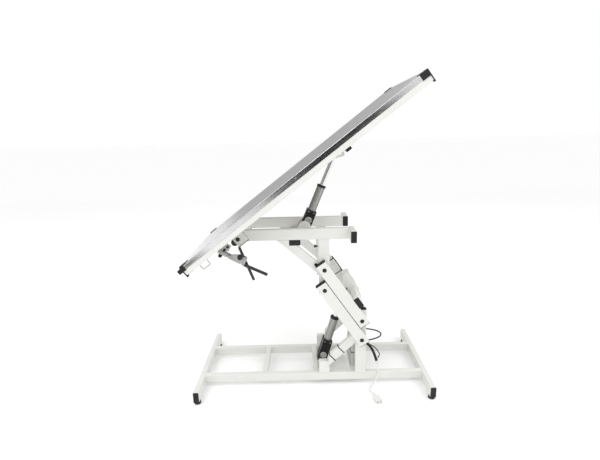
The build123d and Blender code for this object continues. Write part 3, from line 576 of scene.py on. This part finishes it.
weld("upper_welds", "upper_frame", frame_runs, white_coat)

# black screw caps for the cables' clips: one on the left face of the front post, one on its brace
clip_rings = [(0.0, 0.0045), (0.0035, 0.0045), (0.0036, 0.0066), (0.0060, 0.0070), (0.0085, 0.0054),
              (0.0092, 0.0020)]
post_clip = turned((0.0310, -0.1215, 0.6954), (-1.0, 0.0, 0.0), [(0.0, 0.0030), (0.0080, 0.0030)] + [
    (0.0080 + along, radius) for along, radius in clip_rings], 20)
brace_clip = turned((0.0200, -0.1345, 0.6148), (0.0, -1.0, 0.0), clip_rings, 20)
finish_mesh(together([post_clip, brace_clip]), "upper_post_clips", "upper_frame", black_moulding)


# ---- actuators ----------------------------------------------------------------------------------------
# Two electric linear actuators. Each has a moulded black motor housing with a bolted cover and ribs, a
# grooved tube of grey anodised alloy with a black wiper cap on its mouth, and a polished steel rod.
anodised = surface("grey_anodised_alloy", (0.40, 0.405, 0.385), (0.29, 0.295, 0.28), (0.30, 0.42), 500,
                   0.06, metal=0.85)
polished = surface("polished_rod", (0.80, 0.80, 0.81), (0.66, 0.66, 0.67), (0.08, 0.16), 300, 0.02,
                   metal=1.0)
motor_moulding = surface("motor_moulding", (0.016, 0.016, 0.017), (0.008, 0.008, 0.009), (0.35, 0.55), 800,
                         0.3, shine=0.25)
zinc = surface("zinc_plate", (0.62, 0.62, 0.60), (0.46, 0.46, 0.45), (0.28, 0.42), 800, 0.08, metal=1.0)
wear(anodised, "lift_tube", "tilt_tube")
wear(polished, "lift_rod", "tilt_rod")
wear(zinc, "lift_screw", "tilt_screw")
wear(black_oxide, "lift_rod_pin", "tilt_rod_pin")


HOUSING_START = 0.019
COVER_FACE = 0.0262


def actuator_dress(name, body, foot, head, housing_end, tube_end, tube_radius):
    """The housing that replaces the plain CAD one, and the wiper cap on the tube's mouth."""
    foot, head = Vector(foot), Vector(head)
    way = (head - foot).normalized()
    turn = (0.0, -math.atan2(way.z, way.x), 0.0)
    out = Vector((0.0, -1.0, 0.0))
    rise = way.cross(Vector((0.0, 1.0, 0.0)))
    middle = (HOUSING_START + housing_end) / 2

    bpy.ops.object.select_all(action="DESELECT")
    bpy.ops.mesh.primitive_cube_add(size=1, location=foot + way * middle, rotation=turn,
                                    scale=(housing_end - HOUSING_START, 0.056, 0.048))
    shell = bpy.context.object
    bpy.ops.object.transform_apply(location=True, rotation=True, scale=True)
    bpy.ops.object.mode_set(mode="EDIT")
    bpy.ops.mesh.select_all(action="SELECT")
    bpy.ops.mesh.inset(thickness=0.006, depth=-0.0012, use_individual=True)
    bpy.ops.object.mode_set(mode="OBJECT")
    apply_bevel(shell, 0.0032, 4)
    parts = [shell]

    # ribs over the recessed covers, and their four screws
    for side in (-1, 1):
        for share in (0.56, 0.68, 0.80):
            along = HOUSING_START + share * (housing_end - HOUSING_START)
            bpy.ops.object.select_all(action="DESELECT")
            bpy.ops.mesh.primitive_cube_add(size=1, location=foot + way * along - out * side * COVER_FACE,
                                            rotation=turn,
                                            scale=(0.0030, 0.0034, 0.026))
            rib = bpy.context.object
            bpy.ops.object.transform_apply(location=True, rotation=True, scale=True)
            apply_bevel(rib, 0.0006, 2)
            parts.append(rib)

    # the eye at the foot: a clevis barrel with a collar at both sides
    barrel = turned(foot - out * 0.0295, out,
                    [(0.0, 0.0112), (0.0008, 0.0125), (0.0100, 0.0130),
                    (0.0108, 0.0118), (0.0480,
                                       0.0118), (0.0490, 0.0130), (0.0582, 0.0125), (0.0590, 0.0112)], 40)
    parts.append(barrel)
    bpy.ops.object.select_all(action="DESELECT")
    bpy.ops.mesh.primitive_cube_add(size=1, location=foot + way * 0.012, rotation=turn,
                                    scale=(0.020, 0.050, 0.022))
    neck = bpy.context.object
    bpy.ops.object.transform_apply(location=True, rotation=True, scale=True)
    apply_bevel(neck, 0.0025, 3)
    parts.append(neck)
    housing = finish_mesh(together(parts), name + "_housing_moulding", body, motor_moulding)
    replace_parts(housing, name + "_housing")

    rings = [turned(foot + way * 0.044 - out * side * COVER_FACE, -out * side,
                    [(0.0, 0.0165), (0.0022, 0.0165), (0.0030, 0.0155), (0.0030, 0.0118), (0.0012, 0.0112),
                     (0.0010, 0.0040), (0.0020, 0.0030)], 40) for side in (-1, 1)]
    finish_mesh(together(rings), name + "_gear_covers", body, zinc)

    screws = []
    for side in (-1, 1):
        for along in (0.028, housing_end - 0.008):
            for off in (-0.013, 0.013):
                screws.append(turned(foot + way * along + rise * off - out * side * COVER_FACE, -out * side,
                                     [(0.0, 0.0026), (0.0014, 0.0026), (0.0020, 0.0021), (0.0020, 0.0012),
                                      (0.0012, 0.0011)], 16))
    finish_mesh(together(screws), name + "_housing_screws", body, zinc)

    wiper = turned(foot + way * (tube_end - 0.009), way,
                   [(0.0, tube_radius + 0.0003), (0.0001, tube_radius + 0.0016),
                    (0.0080, tube_radius + 0.0018),
                    (0.0098, tube_radius + 0.0008), (0.0104, tube_radius - 0.0030),
                    (0.0104, 0.0112), (0.0078, 0.0108)], 48)
    finish_mesh(wiper, name + "_wiper_cap", body, black_moulding)


LIFT_FOOT, LIFT_HEAD = (0.042, 0.0, 0.052), (0.166, 0.0, 0.448)
TILT_FOOT, TILT_HEAD = (-0.025, 0.0, 0.752), (0.11506, 0.0, 1.08578)
actuator_dress("lift", "lift_actuator", LIFT_FOOT, LIFT_HEAD, 0.125, 0.250, 0.020)
actuator_dress("tilt", "tilt_actuator", TILT_FOOT, TILT_HEAD, 0.092, 0.215, 0.019)


# ---- deck ---------------------------------------------------------------------------------------------
# A board covered by one sheet of brushed stainless steel, folded down over all four edges, on a white
# frame of square tube. Black guards cover the corners.
DECK_SLOPE = math.radians(37)
brushed = surface("brushed_stainless", (0.80, 0.80, 0.80), (0.62, 0.625, 0.63), (0.10, 0.20), 420, 0.08,
                  metal=1.0,
                  clouds=4.0, lay=(40.0, 1.0, 1.0), turn=-DECK_SLOPE)
board_wood = surface("birch_board", (0.56, 0.53, 0.48), (0.44, 0.415, 0.375), (0.6, 0.75), 160, 0.3,
                     lay=(14.0, 1.0, 1.0),
                     turn=-DECK_SLOPE)
wear(brushed, "deck_sheet")
wear(board_wood, "deck_board")
wear(white_coat, "deck_side_tubes", "deck_cross_tubes", "hinge_brackets", "deck_ears")
wear(black_moulding, "deck_drive_caps", "corner_guards")
wear(black_oxide, "hinge_bolts")
wear(foot_rubber, "deck_buffers")
wear(zinc, "skirt_screws", "tie_loops")


# black strips on the lower ends of the hinge brackets: painted shade, standing in for the shading along each
# bracket's lower edge
bracket_shade_strips = []
for side in (-1, 1):
    bpy.ops.object.select_all(action="DESELECT")
    bpy.ops.mesh.primitive_cube_add(size=1, location=(-0.29425, side * 0.140, 0.72225),
                                    rotation=(0.0, -DECK_SLOPE, 0.0),
                                    scale=(0.0555, 0.0066, 0.0030))
    edge = bpy.context.object
    bpy.ops.object.transform_apply(location=True, rotation=True, scale=True)
    bpy.ops.object.mode_set(mode="EDIT")
    pick(edge, lambda centre, normal: normal.z < -0.7)
    bpy.ops.mesh.inset(thickness=0.0014, depth=0.0006)
    bpy.ops.object.mode_set(mode="OBJECT")
    apply_bevel(edge, 0.0008, 2)
    bracket_shade_strips.append(edge)
finish_mesh(together(bracket_shade_strips), "hinge_bracket_shade_strips", "deck", foot_rubber)
bolt_dress("hinge_bolt_washers", "deck", [(-0.319, side * 0.1483, 0.741) for side in (-1, 1)], black_oxide)


# ---- pole clamp ---------------------------------------------------------------------------------------
# A jointed clamp hangs under the low end of the deck: a cast alloy bracket and link, two dark coated
# rods, one with a sleeve for a handle, and two black moulded hand knobs.
clamp_cast = surface("clamp_cast_alloy", (0.50, 0.50, 0.49), (0.36, 0.36, 0.35), (0.35, 0.5), 500, 0.3,
                     metal=0.9)
clamp_dark = surface("clamp_dark_steel", (0.070, 0.070, 0.070), (0.035, 0.035, 0.035), (0.3, 0.45), 700,
                     0.1, metal=0.8)
wear(clamp_cast, "clamp_bracket", "clamp_arm")
wear(clamp_dark, "clamp_rod")


def lobed_knob(name, body, start, way, depth, radius, lobes):
    """A moulded hand knob: a drum with softened rims, whose lobes stay slight."""
    start, way = Vector(start), Vector(way).normalized()
    bpy.ops.object.select_all(action="DESELECT")
    bpy.ops.mesh.primitive_cylinder_add(vertices=lobes * 6, radius=radius * 0.84, depth=depth,
                                        location=start + way * depth / 2,
                                        rotation=way.to_track_quat("Z", "Y").to_euler())
    knob = bpy.context.object
    bpy.ops.object.transform_apply(location=True, rotation=True, scale=True)
    rims = [face for face in knob.data.polygons if abs(face.normal.dot(way)) < 0.1]
    axis_side = rims[0].normal.copy()
    cross = way.cross(axis_side)
    bpy.ops.object.mode_set(mode="EDIT")

    def on_lobe(centre, normal):
        angle = math.degrees(math.atan2(normal.dot(cross), normal.dot(axis_side))) % (360 / lobes)
        return abs(normal.dot(way)) < 0.1 and angle < 0.55 * 360 / lobes

    pick(knob, on_lobe)
    bpy.ops.mesh.extrude_region_shrink_fatten(TRANSFORM_OT_shrink_fatten={"value": radius * 0.15})
    pick(knob, lambda centre, normal: normal.dot(way) > 0.9)
    bpy.ops.mesh.inset(thickness=radius * 0.34)
    bpy.ops.mesh.extrude_region_move(TRANSFORM_OT_translate={"value": way * -0.0014})
    bpy.ops.object.mode_set(mode="OBJECT")
    apply_bevel(knob, radius * 0.07, 3, 25.0)
    return finish_mesh(knob, name, body, black_moulding)


CLAMP_Y = -0.203
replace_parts(lobed_knob("clamp_hand_knob", "clamp_knob", (-0.301, CLAMP_Y - 0.0096, 0.684), (0.0, -1.0, 0.0),
                       0.0144, 0.0130, 5),
            "clamp_knob")
socket_way = Vector((0.0360, 0.0, -0.0196)).normalized()
screw_way = Vector((socket_way.z, 0.0, -socket_way.x))
screw_start = Vector((-0.380, CLAMP_Y, 0.7024)) + screw_way * 0.0113
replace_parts(lobed_knob("clamp_socket_knob", "clamp_screw", screw_start, screw_way, 0.0110, 0.0095, 5),
            "clamp_screw")

handle_low, handle_high = Vector((-0.299, CLAMP_Y - 0.0025,
                                  0.6504)), Vector((-0.191, CLAMP_Y - 0.0025, 0.598))
handle_way = (handle_high - handle_low).normalized()
handle_length = (handle_high - handle_low).length
handle = turned(handle_low + handle_way * 0.012, handle_way,
                [(0.0, 0.0061), (0.0006, 0.0068), (handle_length - 0.0130, 0.0068),
                 (handle_length - 0.0122, 0.0062),
                 (handle_length - 0.0116, 0.0030)], 32)
finish_mesh(handle, "clamp_handle_sleeve", "clamp_arm", clamp_dark)

bracket_screws = [turned((x, CLAMP_Y - 0.0032, z), (0.0, -1.0, 0.0),
                         [(0.0, 0.0062), (0.0034, 0.0062), (0.0042, 0.0054), (0.0042, 0.0026),
                          (0.0018, 0.0024)], 6)
                  for x, z in ((-0.353, 0.726), (-0.367, 0.714))]
finish_mesh(together(bracket_screws), "clamp_bracket_screws", "deck", black_oxide)
